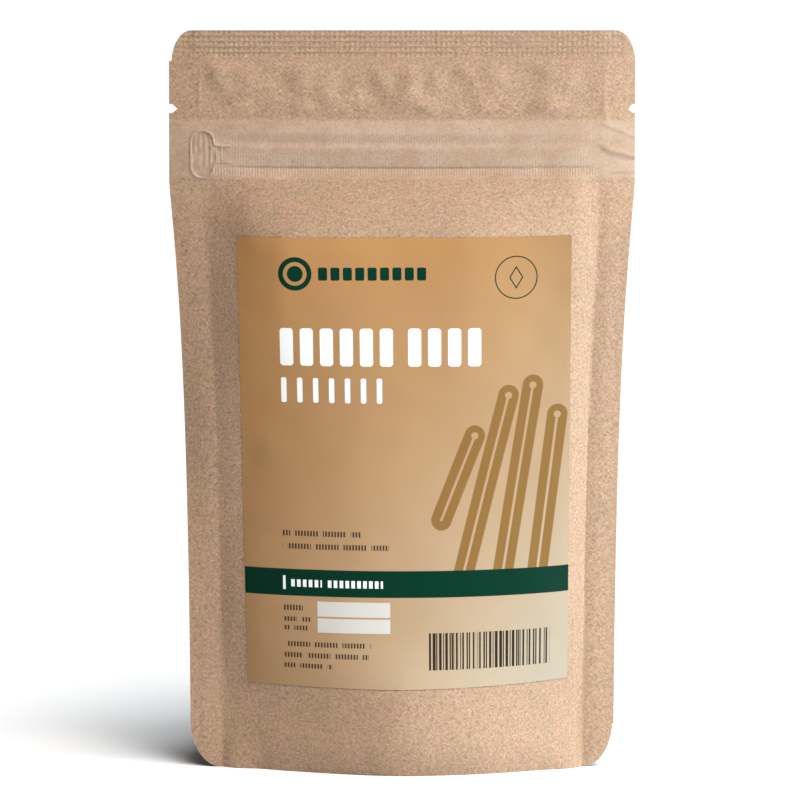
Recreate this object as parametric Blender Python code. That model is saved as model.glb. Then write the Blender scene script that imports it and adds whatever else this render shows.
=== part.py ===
"""Kraft paper stand-up pouch, shut, with a pasted front label. Metres, +Z up, front faces -Y."""

import math

import bmesh
import bpy
import numpy as np

# Outline of the shut pouch, seen square on.
HEIGHT = 0.1915
TOP_WIDTH = 0.1200
BASE_WIDTH = 0.1091
STRAIGHT_FROM = 0.1530
NARROWING_REACH = 0.0500
NARROWING_START = 0.0030
SIDE_SEAL = 0.0080
TOP_CORNER = (0.0050, 0.0085)
BASE_CORNER = (0.0078, 0.0120)

# Paper and seals.
SEAL_HALF = 0.0003
# Height and half thickness of each line pressed across the zip.
ZIP_LINES = (
    (0.1535, 0.00050),
    (0.1558, 0.00055),
    (0.1563, 0.00042),
    (0.1568, 0.00080),
    (0.1600, 0.00095),
    (0.1620, 0.00095),
    (0.1625, 0.00070),
    (0.1630, 0.00095),
    (0.1648, 0.00090),
    (0.1660, 0.00058),
    (0.1682, 0.00052),
    (0.1686, 0.00030),
)

# Swell of the filled body, from the seam plane to the front skin.
BELLY = 0.0145
BELLY_TOP = 0.1545
BELLY_POWER = 2.6
BELLY_ROUND = 0.62
FOOT_SPREAD = 0.0035
FOOT_MIDDLE = 0.0060
FOOT_REACH = 0.0260
BELLY_SHIFT = 0.08

# How full the section is across: near 0.5 an ellipse, near 1 a shallow arch.
ARCH_BODY = 0.58
ARCH_FOOT = (0.55, 0.0160, 0.0170)
ARCH_HEAD = (0.42, 0.0950)
SEAL_FILLET = 0.025

# Folded bottom, seen from below.
SKIRT_WALL = 0.0008
SKIRT_MIDDLE = 0.0040
SKIRT_RISE = 0.0120
ARCH_RISE = 0.0060
FOLD_END = 0.0030

# V cuts for tearing, one in each side seal.
NOTCH_HEIGHT = 0.1713
NOTCH_DEEP = 0.0022
NOTCH_HALF = 0.0012

# Pasted label.
LABEL_TOP = 0.1390
LABEL_FOOT = 0.0234
LABEL_LEFT = (-0.0399, -0.0424)
LABEL_RIGHT = (0.0426, 0.0436)
LABEL_DIP = 0.0006
LABEL_GAP = 0.00035
LABEL_THICK = 0.0003

BODY_LEVELS = 27
BODY_COLUMNS = 34
LABEL_LEVELS = 24
LABEL_COLUMNS = 26

KRAFT = (0.52, 0.36, 0.23)
TAN = (0.62, 0.42, 0.24)


def clear_scene():
    for obj in list(bpy.data.objects):
        bpy.data.objects.remove(obj, do_unlink=True)


def new_collection(name):
    made = bpy.data.collections.new(name)
    bpy.context.scene.collection.children.link(made)
    return made


def finish(name, colour, roughness):
    material = bpy.data.materials.new(name)
    material.use_nodes = True
    shader = material.node_tree.nodes["Principled BSDF"]
    shader.inputs["Base Color"].default_value = (*colour, 1.0)
    shader.inputs["Roughness"].default_value = roughness
    shader.inputs["Metallic"].default_value = 0.0
    return material


def eased(value, low, high):
    """0 at low, 1 at high, with level ends."""
    share = min(max((value - low) / (high - low), 0.0), 1.0)
    return share * share * (3.0 - 2.0 * share)


def seam_half(z):
    """Half width at height z, before the corners are rounded. The swell draws the lower part in."""
    below = max(STRAIGHT_FROM - z, 0.0)
    eased_below = below * below / (below + NARROWING_START)
    share = 1.0 - math.exp(-eased_below / NARROWING_REACH)
    return 0.5 * (TOP_WIDTH - (TOP_WIDTH - BASE_WIDTH) * share)


def outline_half(z):
    """Half width at height z, corners rounded by quarter ellipses."""
    half = seam_half(z)
    from_top = HEIGHT - z
    if from_top < TOP_CORNER[1]:
        reach = 1.0 - from_top / TOP_CORNER[1]
        half -= TOP_CORNER[0] * (1.0 - math.sqrt(1.0 - reach * reach))
    if z < BASE_CORNER[1]:
        reach = 1.0 - z / BASE_CORNER[1]
        half -= BASE_CORNER[0] * (1.0 - math.sqrt(1.0 - reach * reach))
    return half


def seal_half(z):
    """Half thickness of the flat layers at height z."""
    heights = [line[0] for line in ZIP_LINES]
    halves = [line[1] for line in ZIP_LINES]
    return float(np.interp(z, heights, halves, left=SEAL_HALF, right=SEAL_HALF))


def swell(z):
    """Depth of the swell at the middle of the panel."""
    if z >= BELLY_TOP:
        return 0.0
    round_off = (1.0 - (z / BELLY_TOP) ** BELLY_POWER) ** BELLY_ROUND
    return BELLY * round_off + FOOT_SPREAD * math.exp(-(((z - FOOT_MIDDLE) / FOOT_REACH) ** 2))


def arch_power(z):
    """Power of the section's arch at height z: fullest in the body, flatter at the foot and under the zip."""
    foot, middle, reach = ARCH_FOOT
    head, start = ARCH_HEAD
    return (
        ARCH_BODY
        + foot * math.exp(-(((z - middle) / reach) ** 2))
        + head * eased(z, start, BELLY_TOP)
    )


def share_across(u, z):
    """Share of the swell at u, from -1 at the left seal to 1 at the right, with a fillet at both."""
    u = min(max(u, -1.0), 1.0)
    shifted = u - BELLY_SHIFT * (1.0 - u * u)
    arch = (1.0 - shifted * shifted) ** arch_power(z)
    return arch * (1.0 - math.exp(-(1.0 - abs(u)) / SEAL_FILLET))


def skin(x, z):
    """Distance of the front skin from the seam plane."""
    inner = seam_half(z) - SIDE_SEAL
    fade = eased(inner + 0.001 - abs(x), 0.0, 0.0015)
    flat = SEAL_HALF + (seal_half(z) - SEAL_HALF) * fade
    return flat + swell(z) * share_across(x / inner, z)


def section(xs, fronts, backs, zs):
    """Closed ring: front points left to right, then back points right to left."""
    front = [(x, -y, z) for x, y, z in zip(xs, fronts, zs)]
    back = [(x, -y, z) for x, y, z in zip(xs, backs, zs)]
    return front + back[::-1]


def solid_from(name, mesh, collection, material=None):
    """Object from a closed mesh, faces turned outwards."""
    mesh.normal_update()
    bmesh.ops.recalc_face_normals(mesh, faces=mesh.faces)
    data = bpy.data.meshes.new(name)
    mesh.to_mesh(data)
    mesh.free()
    if material:
        data.materials.append(material)
    obj = bpy.data.objects.new(name, data)
    collection.objects.link(obj)
    return obj


def loft_sides(mesh, rings):
    """Rows of vertices through rings of equal point count, joined by a band of faces."""
    rows = [[mesh.verts.new(point) for point in ring] for ring in rings]
    count = len(rows[0])
    for low, high in zip(rows, rows[1:]):
        for i in range(count):
            j = (i + 1) % count
            mesh.faces.new((low[i], low[j], high[j], high[i]))
    return rows


def sheet_loft(name, rings, collection, material):
    """Closed loft of flat sections, shut at both ends by strips from front to back."""
    mesh = bmesh.new()
    rows = loft_sides(mesh, rings)
    for row in (rows[0], rows[-1]):
        last = len(row) - 1
        for i in range(len(row) // 2 - 1):
            mesh.faces.new((row[i], row[i + 1], row[last - 1 - i], row[last - i]))
    return solid_from(name, mesh, collection, material)


def body_heights():
    """Heights of the body's rings: even in the filled part, closer at corners, zip and rounded ends."""
    filled = np.linspace(0.018, 0.147, BODY_LEVELS)
    foot = BASE_CORNER[1] * (1.0 - np.cos(np.linspace(0.0, 0.5 * math.pi, 7)))
    top = HEIGHT - TOP_CORNER[1] * (1.0 - np.cos(np.linspace(0.0, 0.5 * math.pi, 7)))
    lines = [line[0] for line in ZIP_LINES]
    notch = [NOTCH_HEIGHT - 0.003, NOTCH_HEIGHT + 0.003]
    extra = [0.0145, 0.1495, 0.1515, BELLY_TOP]
    return sorted({round(float(z), 6) for z in (*filled, *foot, *top, *lines, *notch, *extra)})


def body_ring(z):
    """Outer edge, seal and swell points at one height."""
    edge = outline_half(z)
    inner = seam_half(z) - SIDE_SEAL
    turn = 0.43 * math.pi
    bulge = inner * np.sin(np.linspace(-turn, turn, BODY_COLUMNS + 1)) / math.sin(turn)
    left = [-edge, -inner - 0.5 * (edge - inner), -inner - min(0.0008, 0.25 * (edge - inner))]
    xs = [*left, *[float(x) for x in bulge], *[-x for x in reversed(left)]]
    depths = [skin(x, z) for x in xs]
    return section(xs, depths, [-d for d in depths], [z] * len(xs))


def make_body(collection, material):
    return sheet_loft("pouch", [body_ring(z) for z in body_heights()], collection, material)


def fold_ring(x):
    """Section of the space under the folded bottom at x: skirt walls, then a low arch from front to back."""
    share = abs(x) / (seam_half(0.0) - SIDE_SEAL)
    seal = SKIRT_MIDDLE + SKIRT_RISE * share * share
    walls = [-0.002, *np.linspace(0.0, seal, 5)]
    points = [(x, SKIRT_WALL - skin(x, max(float(z), 0.0)), float(z)) for z in walls]
    half = -points[-1][1]
    rise = ARCH_RISE * half / (BELLY + FOOT_SPREAD)
    for angle in np.linspace(0.0, math.pi, 13)[1:-1]:
        points.append((x, -half * math.cos(angle), seal + rise * math.sin(angle)))
    mirrored = [(px, -py, pz) for px, py, pz in reversed(points[:6])]
    return points + mirrored


def make_fold_cutter(collection):
    """Space under the folded bottom, as a loft of upright sections from side to side."""
    ends = []
    for side in (-1, 1):
        reach = 0.0
        while skin(side * reach, 0.0) > FOLD_END:
            reach += 0.0002
        ends.append(side * reach)
    turns = np.sin(np.linspace(-0.5 * math.pi, 0.5 * math.pi, 23))
    xs = 0.5 * (ends[0] + ends[1]) + 0.5 * (ends[1] - ends[0]) * turns
    mesh = bmesh.new()
    rows = loft_sides(mesh, [fold_ring(float(x)) for x in xs])
    mesh.faces.new(rows[0])
    mesh.faces.new(rows[-1])
    return solid_from("fold_cutter", mesh, collection)


def make_notch_cutter(side, collection):
    """Wedge lying through the seal, its point towards the middle."""
    mesh = bmesh.new()
    bmesh.ops.create_cube(mesh, size=1.0)
    edge = outline_half(NOTCH_HEIGHT)
    for vert in mesh.verts:
        outer = vert.co.x > 0.0
        vert.co.x = edge + 0.001 if outer else edge - NOTCH_DEEP
        half = NOTCH_HALF * 1.45 if outer else 0.00015
        vert.co.z = NOTCH_HEIGHT + math.copysign(half, vert.co.z)
        vert.co.y = math.copysign(0.002, vert.co.y)
        vert.co.x *= side
    name = "notch_cutter_right" if side > 0 else "notch_cutter_left"
    return solid_from(name, mesh, collection)


def cut(obj, cutter):
    modifier = obj.modifiers.new(cutter.name, "BOOLEAN")
    modifier.operation = "DIFFERENCE"
    modifier.solver = "EXACT"
    modifier.object = cutter
    cutter.hide_render = True
    cutter.display_type = "WIRE"


def label_ring(level):
    """Outer and inner face of the label at one level, its foot bowed down in the middle."""
    share = (level - LABEL_FOOT) / (LABEL_TOP - LABEL_FOOT)
    left = LABEL_LEFT[0] + (LABEL_LEFT[1] - LABEL_LEFT[0]) * share
    right = LABEL_RIGHT[0] + (LABEL_RIGHT[1] - LABEL_RIGHT[0]) * share
    xs = [float(x) for x in np.linspace(left, right, LABEL_COLUMNS + 1)]
    dip = LABEL_DIP * (1.0 - share) ** 2
    zs = [level - dip * (1.0 - (x / LABEL_RIGHT[0]) ** 2) for x in xs]
    inner = [skin(x, z) + LABEL_GAP for x, z in zip(xs, zs)]
    outer = [depth + LABEL_THICK for depth in inner]
    return section(xs, outer, inner, zs)


def make_label(collection, material):
    heights = np.linspace(LABEL_FOOT, LABEL_TOP, LABEL_LEVELS + 1)
    return sheet_loft("label", [label_ring(float(z)) for z in heights], collection, material)


def main():
    clear_scene()
    parts = new_collection("stand_up_pouch")
    cutters = new_collection("cutters")
    pouch = make_body(parts, finish("kraft_paper", KRAFT, 0.85))
    make_label(parts, finish("label_paper", TAN, 0.6))
    cut(pouch, make_fold_cutter(cutters))
    cut(pouch, make_notch_cutter(-1, cutters))
    cut(pouch, make_notch_cutter(1, cutters))
    for obj in parts.objects:
        obj.location.y = 0.5 * (LABEL_GAP + LABEL_THICK)


main()
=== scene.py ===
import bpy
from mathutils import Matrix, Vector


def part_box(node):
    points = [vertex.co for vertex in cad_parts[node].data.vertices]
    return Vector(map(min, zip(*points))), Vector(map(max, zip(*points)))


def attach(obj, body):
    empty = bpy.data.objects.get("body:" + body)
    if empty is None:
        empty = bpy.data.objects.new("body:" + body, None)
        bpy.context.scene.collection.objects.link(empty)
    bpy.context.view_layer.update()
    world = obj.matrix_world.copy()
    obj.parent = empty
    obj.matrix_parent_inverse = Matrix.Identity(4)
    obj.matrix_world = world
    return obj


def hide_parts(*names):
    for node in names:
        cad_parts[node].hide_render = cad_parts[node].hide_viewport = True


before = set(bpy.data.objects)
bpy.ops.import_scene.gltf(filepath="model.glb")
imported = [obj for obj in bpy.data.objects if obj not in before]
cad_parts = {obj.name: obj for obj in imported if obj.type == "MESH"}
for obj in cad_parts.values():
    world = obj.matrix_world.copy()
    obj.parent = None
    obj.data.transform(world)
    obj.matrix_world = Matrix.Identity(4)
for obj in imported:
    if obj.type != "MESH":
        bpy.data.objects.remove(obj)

"""Looks of a shut kraft paper stand-up pouch with a pasted front label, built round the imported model.

The pouch is three webs of paper, front, back and folded bottom, and the label is a fourth sheet. Each
is a surface on a grid of two parameters, closed with its own thickness. X runs to the right, Y from the
labelled front to the back and Z up, in metres. Print is fields of colour and simple shapes only.
"""

import logging
import math
from dataclasses import dataclass, field
from enum import Enum
from functools import reduce
from typing import Any, Optional, Sequence, Union

import bpy
import numpy as np
from mathutils import Vector

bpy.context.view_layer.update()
LOG = logging.getLogger("pouch")
MM = 0.001
SEAL_ROWS = 5
SEAL_FOOT = 0.1846
SEAL_PITCH = 0.00142
PRINT_MAP = "print_mm"
Array = np.ndarray
Colour = tuple[float, float, float]


# ---------------------------------------------------------------- shader arithmetic


class Value:
    """A number at a point of a material, for use in Python arithmetic."""

    def __init__(self, shading: "Shading", socket: Any) -> None:
        """Keeps the socket and the shading that it belongs to."""
        self.shading = shading
        self.socket = socket

    def __add__(self, other: "Operand") -> "Value":
        """Sum."""
        return self.shading.maths("ADD", self, other)

    __radd__ = __add__

    def __sub__(self, other: "Operand") -> "Value":
        """Difference."""
        return self.shading.maths("SUBTRACT", self, other)

    def __rsub__(self, other: "Operand") -> "Value":
        """Difference, this value taken away."""
        return self.shading.maths("SUBTRACT", other, self)

    def __mul__(self, other: "Operand") -> "Value":
        """Product."""
        return self.shading.maths("MULTIPLY", self, other)

    __rmul__ = __mul__

    def __truediv__(self, other: "Operand") -> "Value":
        """Quotient."""
        return self.shading.maths("DIVIDE", self, other)

    def __abs__(self) -> "Value":
        """Distance from 0."""
        return self.shading.maths("ABSOLUTE", self)

    def __mod__(self, other: "Operand") -> "Value":
        """Remainder, never negative."""
        return self.shading.maths("FLOORED_MODULO", self, other)


Operand = Union[Value, float]


class Shading:
    """One material and the nodes that make it."""

    def __init__(self, name: str) -> None:
        """Starts the material with one Principled shader.

        Args:
            name: Name of the material.
        """
        self.material = bpy.data.materials.new(name)
        self.material.use_nodes = True
        self.tree = self.material.node_tree
        self.tree.nodes.clear()
        self.output = self.tree.nodes.new("ShaderNodeOutputMaterial")
        self.shader = self.tree.nodes.new("ShaderNodeBsdfPrincipled")
        self.tree.links.new(self.shader.outputs[0], self.output.inputs["Surface"])

    def node(
        self,
        kind: str,
        settings: Optional[dict[str, Any]] = None,
        inputs: Optional[dict[Union[str, int], Any]] = None,
        output: Union[str, int] = 0,
    ) -> Value:
        """Makes any node.

        Args:
            kind: Blender's name of the node's type.
            settings: Properties that are set first. "stops" gives a ramp's places and colours.
            inputs: Number, vector or Value for each socket, by name or place.
            output: The socket handed back, by name or place.

        Returns:
            The asked output as a Value.
        """
        made = self.tree.nodes.new(kind)
        for key, setting in (settings or {}).items():
            if key == "stops":
                self._set_stops(made.color_ramp, setting)
            else:
                setattr(made, key, setting)
        for key, given in (inputs or {}).items():
            if isinstance(given, Value):
                self.tree.links.new(given.socket, made.inputs[key])
            else:
                made.inputs[key].default_value = given
        return Value(self, made.outputs[output])

    @staticmethod
    def _set_stops(ramp: Any, stops: Sequence[tuple[float, Colour]]) -> None:
        """Gives a ramp its places and colours.

        Args:
            ramp: The colour ramp.
            stops: Place from 0 to 1 and colour of each stop.
        """
        while len(ramp.elements) < len(stops):
            ramp.elements.new(1.0)
        for element, (place, colour) in zip(ramp.elements, stops):
            element.position = place
            element.color = (*colour, 1.0)

    def maths(self, operation: str, *operands: Operand, clamp: bool = False) -> Value:
        """One Math node.

        Args:
            operation: Blender's name of the operation.
            operands: One to three values or numbers.
            clamp: Keeps the result between 0 and 1.

        Returns:
            The result.
        """
        settings = {"operation": operation, "use_clamp": clamp}
        return self.node("ShaderNodeMath", settings, dict(enumerate(operands)))

    def sine(self, angle: Operand) -> Value:
        """Sine of an angle in radians."""
        return self.maths("SINE", angle)

    def greatest(self, first: Operand, second: Operand) -> Value:
        """The greater of two values."""
        return self.maths("MAXIMUM", first, second)

    def least(self, first: Operand, second: Operand) -> Value:
        """The lesser of two values."""
        return self.maths("MINIMUM", first, second)

    def above(self, value: Value, limit: float, soft: float) -> Value:
        """0 well under the limit and 1 well over it, with a straight slope of width soft between."""
        return self.maths("MULTIPLY_ADD", value, 1.0 / soft, 0.5 - limit / soft, clamp=True)

    def below(self, value: Value, limit: float, soft: float) -> Value:
        """1 well under the limit and 0 well over it, with a straight slope of width soft between."""
        return self.maths("MULTIPLY_ADD", value, -1.0 / soft, 0.5 + limit / soft, clamp=True)

    def mix(self, share: Operand, first: Any, second: Any) -> Value:
        """Colour between two.

        Args:
            share: 0 for the first and 1 for the second.
            first: Colour or Value.
            second: Colour or Value.

        Returns:
            The mixed colour.
        """
        full = [c if isinstance(c, Value) else (*c, 1.0) for c in (first, second)]
        sockets = {0: share, 6: full[0], 7: full[1]}
        return self.node("ShaderNodeMix", {"data_type": "RGBA"}, sockets, output=2)

    def scaled(self, vector: Value, gain: Operand) -> Value:
        """Vector or colour with each of its parts multiplied by the gain."""
        return self.node("ShaderNodeVectorMath", {"operation": "SCALE"}, {0: vector, "Scale": gain})

    def place(self) -> Value:
        """The point's place on the object, in millimetres."""
        return self.scaled(self.node("ShaderNodeTexCoord", output="Object"), 1.0 / MM)

    def turned(self, place: Value, turn: float, size: Sequence[float]) -> Value:
        """A place in axes turned about Y by turn degrees, each axis counted in its own size."""
        sockets = {"Vector": place, "Rotation": (0.0, math.radians(turn), 0.0), "Scale": tuple(size)}
        return self.node("ShaderNodeMapping", {"vector_type": "TEXTURE"}, sockets)

    def noise(self, place: Value, frequency: float, detail: float = 2.0, roughness: float = 0.5) -> Value:
        """Smooth noise from about 0 to 1, at so many waves per unit of place."""
        sockets = {"Vector": place, "Scale": frequency, "Detail": detail, "Roughness": roughness}
        return self.node("ShaderNodeTexNoise", None, sockets)

    def split(self, vector: Value) -> tuple[Value, Value, Value]:
        """The three parts of a vector.

        Args:
            vector: Vector to take apart.

        Returns:
            X, Y and Z.
        """
        first = self.node("ShaderNodeSeparateXYZ", None, {0: vector})
        outputs = first.socket.node.outputs
        return first, Value(self, outputs[1]), Value(self, outputs[2])

    def bump(self, height: Value, distance: float) -> Value:
        """Normal of a surface raised by height times distance."""
        sockets = {"Height": height, "Distance": distance, "Strength": 1.0}
        return self.node("ShaderNodeBump", None, sockets)

    def finish(self, constants: dict[str, Any], varying: dict[str, Value]) -> bpy.types.Material:
        """Sets the shader's own sockets and links what varies.

        Args:
            constants: Number or colour for each socket that is the same all over.
            varying: Value for each socket that changes over the surface.

        Returns:
            The finished material.
        """
        for key, constant in constants.items():
            self.shader.inputs[key].default_value = constant
        for key, value in varying.items():
            self.tree.links.new(value.socket, self.shader.inputs[key])
        return self.material


# ---------------------------------------------------------------- meshes from grids


def eased(value: Array, low: float, high: float) -> Array:
    """0 at low and 1 at high with level ends: 3 s squared less 2 s cubed."""
    share = np.clip((value - low) / (high - low), 0.0, 1.0)
    return share * share * (3.0 - 2.0 * share)


def between(value: Array, rise: Sequence[float], fall: Sequence[float]) -> Array:
    """1 inside a band, easing up over the first pair of limits and down over the second."""
    return eased(value, *rise) * (1.0 - eased(value, *fall))


def hill(distance: Array, reach: float) -> Array:
    """e to the minus squared distance over reach: 1 in the middle, fading to both sides."""
    return np.exp(-((distance / reach) ** 2))


def ripple(x: Array, z: Array, seed: int, length: float, waves: int = 24) -> Array:
    """Soft uneven field of about unit size.

    Sum of plane waves: sine of (direction times place over length, plus phase), each with a seeded
    direction, a seeded length within a third of the asked one, and a seeded phase.

    Args:
        x: Places across.
        z: Places up, same shape.
        seed: Seed of the directions, lengths and phases.
        length: Middle wave length in metres.
        waves: How many waves are summed.

    Returns:
        The field, same shape as x.
    """
    draw = np.random.default_rng(seed)
    angle = draw.uniform(0.0, math.pi, waves)
    scale = 2.0 * math.pi / (length * draw.uniform(0.7, 1.4, waves))
    phase = draw.uniform(0.0, 2.0 * math.pi, waves)
    across = np.multiply.outer(x, np.cos(angle) * scale)
    up = np.multiply.outer(z, np.sin(angle) * scale)
    return np.sin(across + up + phase).sum(axis=-1) / math.sqrt(0.5 * waves)


def grid_normals(points: Array) -> Array:
    """Unit normals of a grid: the cross product of its steps along a row and up a column."""
    normal = np.cross(np.gradient(points, axis=1), np.gradient(points, axis=0))
    return normal / np.linalg.norm(normal, axis=2, keepdims=True)


def grid_faces(rows: int, columns: int) -> Array:
    """Corner numbers of a grid's four-sided faces, counted row by row.

    Args:
        rows: Rows of points.
        columns: Points in a row.

    Returns:
        One row of four corner numbers for each face.
    """
    number = np.arange(rows * columns).reshape(rows, columns)
    corners = (number[:-1, :-1], number[:-1, 1:], number[1:, 1:], number[1:, :-1])
    return np.stack(corners, axis=-1).reshape(-1, 4)


def rim_faces(rows: int, columns: int) -> Array:
    """Faces that join the edge of an outer grid to the edge of the inner grid numbered after it.

    Args:
        rows: Rows of points.
        columns: Points in a row.

    Returns:
        One row of four corner numbers for each face.
    """
    number = np.arange(rows * columns).reshape(rows, columns)
    loop = np.concatenate((number[0, :-1], number[:-1, -1], number[-1, :0:-1], number[:0:-1, 0]))
    ahead = np.roll(loop, -1)
    inner = rows * columns
    return np.stack((ahead, loop, loop + inner, ahead + inner), axis=-1)


@dataclass
class Sheet:
    """A thin closed sheet from a grid of outer points, its thickness laid on the inner side.

    Inner point = outer point less thickness times the grid's unit normal, never below the floor.
    """

    name: str
    outer: Array
    thickness: float
    print_map: Optional[Array] = None
    sharp_angle: float = 48.0

    def build(self) -> bpy.types.Object:
        """Makes the sheet's object, shaded smooth but for its cut edge.

        Returns:
            The object.
        """
        rows, columns = self.outer.shape[:2]
        inner = self.outer - self.thickness * grid_normals(self.outer)
        inner[..., 2] = np.maximum(inner[..., 2], 0.0)
        points = np.concatenate((self.outer.reshape(-1, 3), inner.reshape(-1, 3)))
        front = grid_faces(rows, columns)
        faces = np.concatenate((front, front[:, ::-1] + rows * columns, rim_faces(rows, columns)))
        mesh = mesh_from(self.name, points, faces)
        if self.print_map is not None:
            both = np.concatenate([self.print_map.reshape(-1, 2)] * 2)
            layer = mesh.uv_layers.new(name=PRINT_MAP)
            layer.data.foreach_set("uv", both[faces.ravel()].astype(np.float32).ravel())
        mesh.set_sharp_from_angle(angle=math.radians(self.sharp_angle))
        return shown(mesh)


def mesh_from(name: str, points: Array, faces: Array) -> bpy.types.Mesh:
    """Mesh of four-sided faces, shaded smooth.

    Args:
        name: Name of the mesh.
        points: One row of three numbers for each point.
        faces: One row of four corner numbers for each face.

    Returns:
        The mesh.
    """
    mesh = bpy.data.meshes.new(name)
    mesh.vertices.add(len(points))
    mesh.vertices.foreach_set("co", points.astype(np.float32).ravel())
    mesh.loops.add(faces.size)
    mesh.loops.foreach_set("vertex_index", faces.astype(np.int32).ravel())
    mesh.polygons.add(len(faces))
    mesh.polygons.foreach_set("loop_start", np.arange(0, faces.size, 4, dtype=np.int32))
    mesh.polygons.foreach_set("use_smooth", np.ones(len(faces), dtype=bool))
    mesh.update(calc_edges=True)
    return mesh


def shown(mesh: bpy.types.Mesh) -> bpy.types.Object:
    """Object of a mesh, in the scene, at the origin.

    Args:
        mesh: Mesh to show.

    Returns:
        The object.
    """
    made = bpy.data.objects.new(mesh.name, mesh)
    bpy.context.scene.collection.objects.link(made)
    return made


# ---------------------------------------------------------------- form of the pouch


class Side(Enum):
    """The two large sides of the pouch."""

    FRONT = -1
    BACK = 1


@dataclass(frozen=True)
class PouchForm:
    """Outline and swell of the filled pouch, as functions of x and z."""

    seam_y: float
    height: float
    top_width: float
    base_width: float = 0.1091
    straight_from: float = 0.1530
    narrowing_reach: float = 0.0500
    narrowing_start: float = 0.0030
    side_seal: float = 0.0080
    top_corner: tuple[float, float] = (0.0050, 0.0085)
    base_corner: tuple[float, float] = (0.0078, 0.0120)
    seal_half: float = 0.0003
    belly: float = 0.0145
    belly_top: float = 0.1545
    belly_power: float = 2.6
    belly_round: float = 0.62
    foot_spread: float = 0.0035
    foot_middle: float = 0.0060
    foot_reach: float = 0.0260
    belly_shift: float = 0.08
    arch_body: float = 0.58
    arch_foot: tuple[float, float, float] = (0.55, 0.0160, 0.0170)
    arch_head: tuple[float, float] = (0.42, 0.0950)
    arch_left: tuple[float, float, float] = (0.36, 0.0740, 0.0420)
    seal_fillet: float = 0.025
    left_lean: tuple[float, float, float, float] = (0.09, 0.40, 0.0880, 0.0290)
    right_lean: float = 0.16
    notch_height: float = 0.1713
    notch_deep: tuple[float, float] = (0.0022, 0.0018)
    notch_half: float = 0.00108
    punch_step: tuple[float, float] = (0.0007, 0.0003)
    punch_height: tuple[float, float] = (0.1835, 0.0113)
    punch_edge: float = 0.0002

    def seam_half(self, z: Array) -> Array:
        """Half width before the corners are rounded.

        Half the top width, less half the narrowing times 1 minus e to the minus depth below the
        straight part over its reach.

        Args:
            z: Heights.

        Returns:
            The half widths, same shape as z.
        """
        below = np.maximum(self.straight_from - z, 0.0)
        below = below * below / (below + self.narrowing_start)
        share = 1.0 - np.exp(-below / self.narrowing_reach)
        return 0.5 * (self.top_width - (self.top_width - self.base_width) * share)

    def inner_half(self, z: Array) -> Array:
        """Half width inside the side seals."""
        return self.seam_half(z) - self.side_seal

    def edge_half(self, z: Array, side: int) -> Array:
        """Half width to the cut edge on one side, -1 for left and 1 for right.

        The seam's half width less a quarter ellipse at each corner, less a pointed slot at the
        tearing notch, less the small step where the corner punch ends: at the head on the left and
        at the foot on the right.

        Args:
            z: Heights.
            side: Which cut edge.

        Returns:
            The half widths, same shape as z.
        """
        half = self.seam_half(z)
        for (wide, tall), away in ((self.top_corner, self.height - z), (self.base_corner, z)):
            reach = np.clip(1.0 - away / tall, 0.0, 1.0)
            half = half - wide * (1.0 - np.sqrt(1.0 - reach * reach))
        deep = self.notch_deep[0 if side < 0 else 1]
        away = np.abs(z - self.notch_height) / self.notch_half
        half = half - deep * (1.0 - 0.55 * away) * (1.0 - eased(away, 1.0, 1.15))
        head, foot = (eased(z, height, height + self.punch_edge) for height in self.punch_height)
        if side < 0:
            return half - self.punch_step[0] * head
        return half - self.punch_step[1] * (1.0 - foot)

    def swell(self, z: Array) -> Array:
        """Depth of the swell at the middle of a side.

        The belly times (1 less height over its top, to a power) to another power, plus a hill at
        the foot where the folded bottom spreads the sides.

        Args:
            z: Heights.

        Returns:
            The depths, same shape as z.
        """
        share = np.clip(z / self.belly_top, 0.0, 1.0)
        body = self.belly * (1.0 - share**self.belly_power) ** self.belly_round
        foot = self.foot_spread * hill(z - self.foot_middle, self.foot_reach)
        return np.where(z < self.belly_top, body + foot * (1.0 - share**4), 0.0)

    def arch_power(self, u: Array, z: Array) -> Array:
        """Power of the arch across: small is full like an ellipse, over 1 leaves the seal gently.

        Args:
            u: Places between the side seals, from -1 to 1.
            z: Heights, same shape.

        Returns:
            The powers.
        """
        foot, middle, reach = self.arch_foot
        head, start = self.arch_head
        left, left_middle, left_reach = self.arch_left
        return (
            self.arch_body
            + foot * hill(z - middle, reach)
            + head * eased(z, start, self.belly_top)
            + left * hill(z - left_middle, left_reach) * eased(-u, -0.1, 0.5)
        )

    def seam(self, x: Array, z: Array) -> Array:
        """Place of the seam plane in y: the side seals lean back towards their cut edges.

        On the left the lean is greatest at middle height; on the right only the head leans.

        Args:
            x: Places across.
            z: Heights, same shape.

        Returns:
            The seam plane's y at each place.
        """
        base, more, middle, reach = self.left_lean
        left = base + more * hill(z - middle, reach)
        right = self.right_lean * eased(z, 0.1350, 0.1550)
        outward = np.maximum(np.abs(x) - self.inner_half(z) + 0.0010, 0.0)
        outward = outward * outward / (outward + 0.0020)
        return self.seam_y + np.where(x < 0.0, left, right) * outward

    def skin(self, x: Array, z: Array) -> Array:
        """Distance of a side's outer face from the seam plane, without relief.

        Seal half thickness plus the swell times (1 less u squared) to the arch's power, where u is
        the place between the side seals, shifted a little to the right, and all of it fades in over
        a fillet at each seal.

        Args:
            x: Places across.
            z: Heights, same shape.

        Returns:
            The distances.
        """
        u = np.clip(x / self.inner_half(z), -1.0, 1.0)
        shifted = u - self.belly_shift * (1.0 - u * u)
        arch = np.maximum(1.0 - shifted * shifted, 0.0) ** self.arch_power(u, z)
        fillet = 1.0 - np.exp(-(1.0 - np.abs(u)) / self.seal_fillet)
        return self.seal_half + self.swell(z) * arch * fillet


# ---------------------------------------------------------------- relief pressed into the paper


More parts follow.
